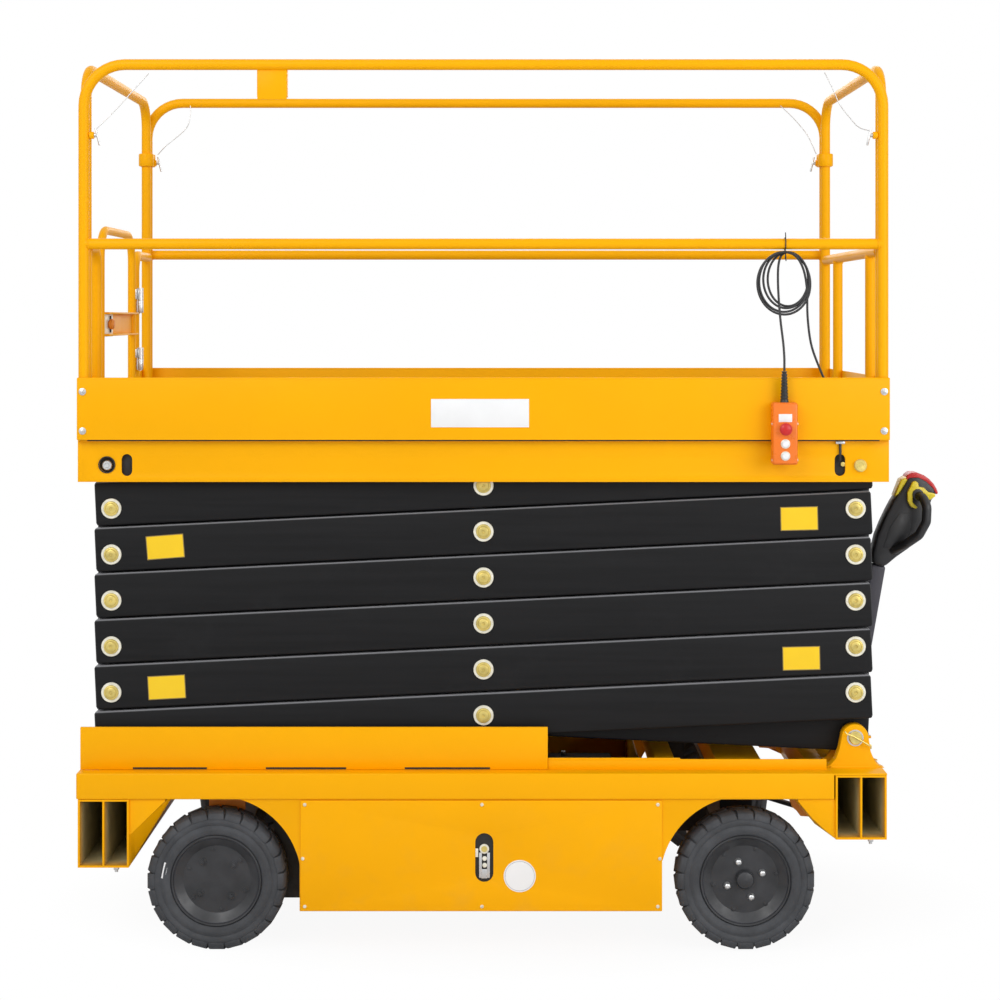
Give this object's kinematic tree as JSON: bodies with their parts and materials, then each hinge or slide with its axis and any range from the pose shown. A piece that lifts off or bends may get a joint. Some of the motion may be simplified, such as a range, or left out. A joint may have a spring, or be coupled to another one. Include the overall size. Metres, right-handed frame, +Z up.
{
  "type": "scissor lift",
  "caption": "Wheeled scissor lift with a folded arm stack, a railed work platform with an entry gate, outrigger pockets and a steering tiller.",
  "frame": {"origin": "on the ground under the middle of the machine's overall length and width", "axes": "+Z up, +X towards the tiller and the steered wheels, -Y the side with the hand control"},
  "size_m": [2.7277, 1.2346, 2.6785],
  "materials": {
    "black": "grained black plastic",
    "cable": "matt rubber sheath",
    "charcoal": "satin black paint",
    "chrome": "hard chrome, polished",
    "decking": "checker plate",
    "orange": "moulded orange plastic",
    "red": "moulded red plastic",
    "throttle": "moulded yellow plastic",
    "tyre": "matt solid rubber",
    "yellow": "semi-gloss powder coat",
    "zinc": "zinc plated"
  },
  "bodies": {
    "base": {"base_frame": "yellow", "track_cover_near": "yellow", "track_cover_far": "yellow", "rear_outrigger_pockets": "yellow", "front_outrigger_pockets": "yellow", "chassis_box": "yellow", "side_panel_near": "yellow", "side_panel_far": "yellow", "power_pack": "black", "rear_axle": "charcoal", "front_axle": "charcoal"},
    "platform": {"deck": "decking", "deck_frame": "yellow", "toe_boards": "yellow", "guard_rail_near": "yellow", "guard_rail_far": "yellow", "guard_rail_front_end": "yellow", "guard_rail_gate_end": "yellow", "hand_control": "orange", "cable_coil": "cable", "cable_to_handset": "cable", "cable_to_deck": "cable", "cable_gland": "black"},
    "gate": {"entry_gate": "yellow", "gate_latch": "zinc"},
    "tie_rod": {"tie_rod": "zinc"},
    "turret": {"tiller_turret": "yellow"},
    "tiller": {"tiller_column": "charcoal", "tiller_head": "black", "tiller_throttle_near": "throttle", "tiller_throttle_far": "throttle", "tiller_button": "red"},
    "inner_1": {"stage_1_inner_arms": "charcoal"},
    "outer_1": {"stage_1_outer_arms": "charcoal"},
    "inner_2": {"stage_2_inner_arms": "charcoal"},
    "outer_2": {"stage_2_outer_arms": "charcoal"},
    "inner_3": {"stage_3_inner_arms": "charcoal"},
    "outer_3": {"stage_3_outer_arms": "charcoal"},
    "inner_4": {"stage_4_inner_arms": "charcoal"},
    "outer_4": {"stage_4_outer_arms": "charcoal"},
    "inner_5": {"stage_5_inner_arms": "charcoal"},
    "outer_5": {"stage_5_outer_arms": "charcoal"},
    "inner_6": {"stage_6_inner_arms": "charcoal"},
    "outer_6": {"stage_6_outer_arms": "charcoal"},
    "cylinder_1_barrel": {"lift_cylinder_1_barrel": "charcoal"},
    "cylinder_1_rod": {"lift_cylinder_1_rod": "chrome"},
    "cylinder_2_barrel": {"lift_cylinder_2_barrel": "charcoal"},
    "cylinder_2_rod": {"lift_cylinder_2_rod": "chrome"},
    "knuckle_near": {"steering_knuckle_near": "charcoal"},
    "knuckle_far": {"steering_knuckle_far": "charcoal"},
    "wheel_rear_near": {"tyre_rear_near": "tyre", "wheel_rim_rear_near": "charcoal"},
    "wheel_rear_far": {"tyre_rear_far": "tyre", "wheel_rim_rear_far": "charcoal"},
    "wheel_front_near": {"tyre_front_near": "tyre", "wheel_rim_front_near": "charcoal"},
    "wheel_front_far": {"tyre_front_far": "tyre", "wheel_rim_front_far": "charcoal"}
  },
  "joints": [
    {"name": "lift", "type": "hinge", "parent": "base", "child": "inner_1", "pos_m": [0.99515, 0, 0.626], "axis": [0, 1, 0], "range_deg": [0, 53]},
    {"name": "stage_1_outer", "type": "hinge", "parent": "inner_1", "child": "outer_1", "pos_m": [-0.1318, 0, 0.6956], "axis": [0, 1, 0], "range_deg": [-107, 0]},
    {"name": "stage_2_inner", "type": "hinge", "parent": "outer_1", "child": "inner_2", "pos_m": [0.99515, 0, 0.7652], "axis": [0, 1, 0], "range_deg": [0, 107]},
    {"name": "stage_2_outer", "type": "hinge", "parent": "inner_2", "child": "outer_2", "pos_m": [-0.1318, 0, 0.8348], "axis": [0, 1, 0], "range_deg": [-107, 0]},
    {"name": "stage_3_inner", "type": "hinge", "parent": "outer_2", "child": "inner_3", "pos_m": [0.99515, 0, 0.9044], "axis": [0, 1, 0], "range_deg": [0, 107]},
    {"name": "stage_3_outer", "type": "hinge", "parent": "inner_3", "child": "outer_3", "pos_m": [-0.1318, 0, 0.974], "axis": [0, 1, 0], "range_deg": [-107, 0]},
    {"name": "stage_4_inner", "type": "hinge", "parent": "outer_3", "child": "inner_4", "pos_m": [0.99515, 0, 1.0436], "axis": [0, 1, 0], "range_deg": [0, 107]},
    {"name": "stage_4_outer", "type": "hinge", "parent": "inner_4", "child": "outer_4", "pos_m": [-0.1318, 0, 1.1132], "axis": [0, 1, 0], "range_deg": [-107, 0]},
    {"name": "stage_5_inner", "type": "hinge", "parent": "outer_4", "child": "inner_5", "pos_m": [0.99515, 0, 1.1828], "axis": [0, 1, 0], "range_deg": [0, 107]},
    {"name": "stage_5_outer", "type": "hinge", "parent": "inner_5", "child": "outer_5", "pos_m": [-0.1318, 0, 1.2524], "axis": [0, 1, 0], "range_deg": [-107, 0]},
    {"name": "stage_6_inner", "type": "hinge", "parent": "outer_5", "child": "inner_6", "pos_m": [0.99515, 0, 1.322], "axis": [0, 1, 0], "range_deg": [0, 107]},
    {"name": "stage_6_outer", "type": "hinge", "parent": "inner_6", "child": "outer_6", "pos_m": [-0.1318, 0, 1.3916], "axis": [0, 1, 0], "range_deg": [-107, 0]},
    {"name": "platform_level", "type": "hinge", "parent": "outer_6", "child": "platform", "pos_m": [0.99515, 0, 1.4612], "axis": [0, 1, 0], "range_deg": [0, 54]},
    {"name": "cylinder_1_swing", "type": "hinge", "parent": "inner_1", "child": "cylinder_1_barrel", "pos_m": [-0.38133, 0, 0.71101], "axis": [0, 1, 0], "range_deg": [-101.15, 0]},
    {"name": "cylinder_1_stroke", "type": "slide", "parent": "cylinder_1_barrel", "child": "cylinder_1_rod", "axis": [0.9775, 0, 0.211], "range_m": [0, 0.2821]},
    {"name": "cylinder_2_swing", "type": "hinge", "parent": "inner_4", "child": "cylinder_2_barrel", "pos_m": [-0.38133, 0, 1.12861], "axis": [0, 1, 0], "range_deg": [-101.15, 0]},
    {"name": "cylinder_2_stroke", "type": "slide", "parent": "cylinder_2_barrel", "child": "cylinder_2_rod", "axis": [0.9775, 0, 0.211], "range_m": [0, 0.2821]},
    {"name": "tiller_steer", "type": "hinge", "parent": "base", "child": "turret", "pos_m": [1.0732, 0, 0.56], "axis": [0, 0, 1], "range_deg": [-35, 35]},
    {"name": "tiller_fold", "type": "hinge", "parent": "turret", "child": "tiller", "pos_m": [1.0732, 0, 0.592], "axis": [0, 1, 0], "range_deg": [0, 55]},
    {"name": "steer_near", "type": "hinge", "parent": "base", "child": "knuckle_near", "pos_m": [0.6542, -0.44, 0.211], "axis": [0, 0, 1], "range_deg": [-23, 23]},
    {"name": "steer_far", "type": "hinge", "parent": "base", "child": "knuckle_far", "pos_m": [0.6542, 0.44, 0.211], "axis": [0, 0, 1], "range_deg": [-23, 23]},
    {"name": "tie_rod_slide", "type": "slide", "parent": "base", "child": "tie_rod", "axis": [0, 1, 0], "range_m": [-0.048, 0.048]},
    {"name": "spin_rear_near", "type": "hinge", "parent": "base", "child": "wheel_rear_near", "pos_m": [-0.9328, -0.54, 0.211], "axis": [0, 1, 0], "continuous": true},
    {"name": "spin_rear_far", "type": "hinge", "parent": "base", "child": "wheel_rear_far", "pos_m": [-0.9328, 0.54, 0.211], "axis": [0, 1, 0], "continuous": true},
    {"name": "spin_front_near", "type": "hinge", "parent": "knuckle_near", "child": "wheel_front_near", "pos_m": [0.6542, -0.54, 0.211], "axis": [0, 1, 0], "continuous": true},
    {"name": "spin_front_far", "type": "hinge", "parent": "knuckle_far", "child": "wheel_front_far", "pos_m": [0.6542, 0.54, 0.211], "axis": [0, 1, 0], "continuous": true},
    {"name": "gate_swing", "type": "hinge", "parent": "platform", "child": "gate", "pos_m": [-1.3058, 0.238, 1.9], "axis": [0, 0, 1], "range_deg": [0, 90]}
  ],
  "couplings": [
    {"joint": "stage_1_outer", "follows": "lift", "ratio": -2},
    {"joint": "stage_2_inner", "follows": "lift", "ratio": 2},
    {"joint": "stage_2_outer", "follows": "lift", "ratio": -2},
    {"joint": "stage_3_inner", "follows": "lift", "ratio": 2},
    {"joint": "stage_3_outer", "follows": "lift", "ratio": -2},
    {"joint": "stage_4_inner", "follows": "lift", "ratio": 2},
    {"joint": "stage_4_outer", "follows": "lift", "ratio": -2},
    {"joint": "stage_5_inner", "follows": "lift", "ratio": 2},
    {"joint": "stage_5_outer", "follows": "lift", "ratio": -2},
    {"joint": "stage_6_inner", "follows": "lift", "ratio": 2},
    {"joint": "stage_6_outer", "follows": "lift", "ratio": -2},
    {"joint": "platform_level", "follows": "lift", "ratio": 1},
    {"joint": "cylinder_1_swing", "follows": "lift", "ratio": -1.8896},
    {"joint": "cylinder_1_stroke", "follows": "lift", "m_per_rad": 0.30284},
    {"joint": "cylinder_2_swing", "follows": "lift", "ratio": -1.8896},
    {"joint": "cylinder_2_stroke", "follows": "lift", "m_per_rad": 0.30284},
    {"joint": "steer_near", "follows": "tiller_steer", "ratio": 0.62857},
    {"joint": "steer_far", "follows": "tiller_steer", "ratio": 0.62857},
    {"joint": "tie_rod_slide", "follows": "tiller_steer", "m_per_rad": -0.073589}
  ]
}
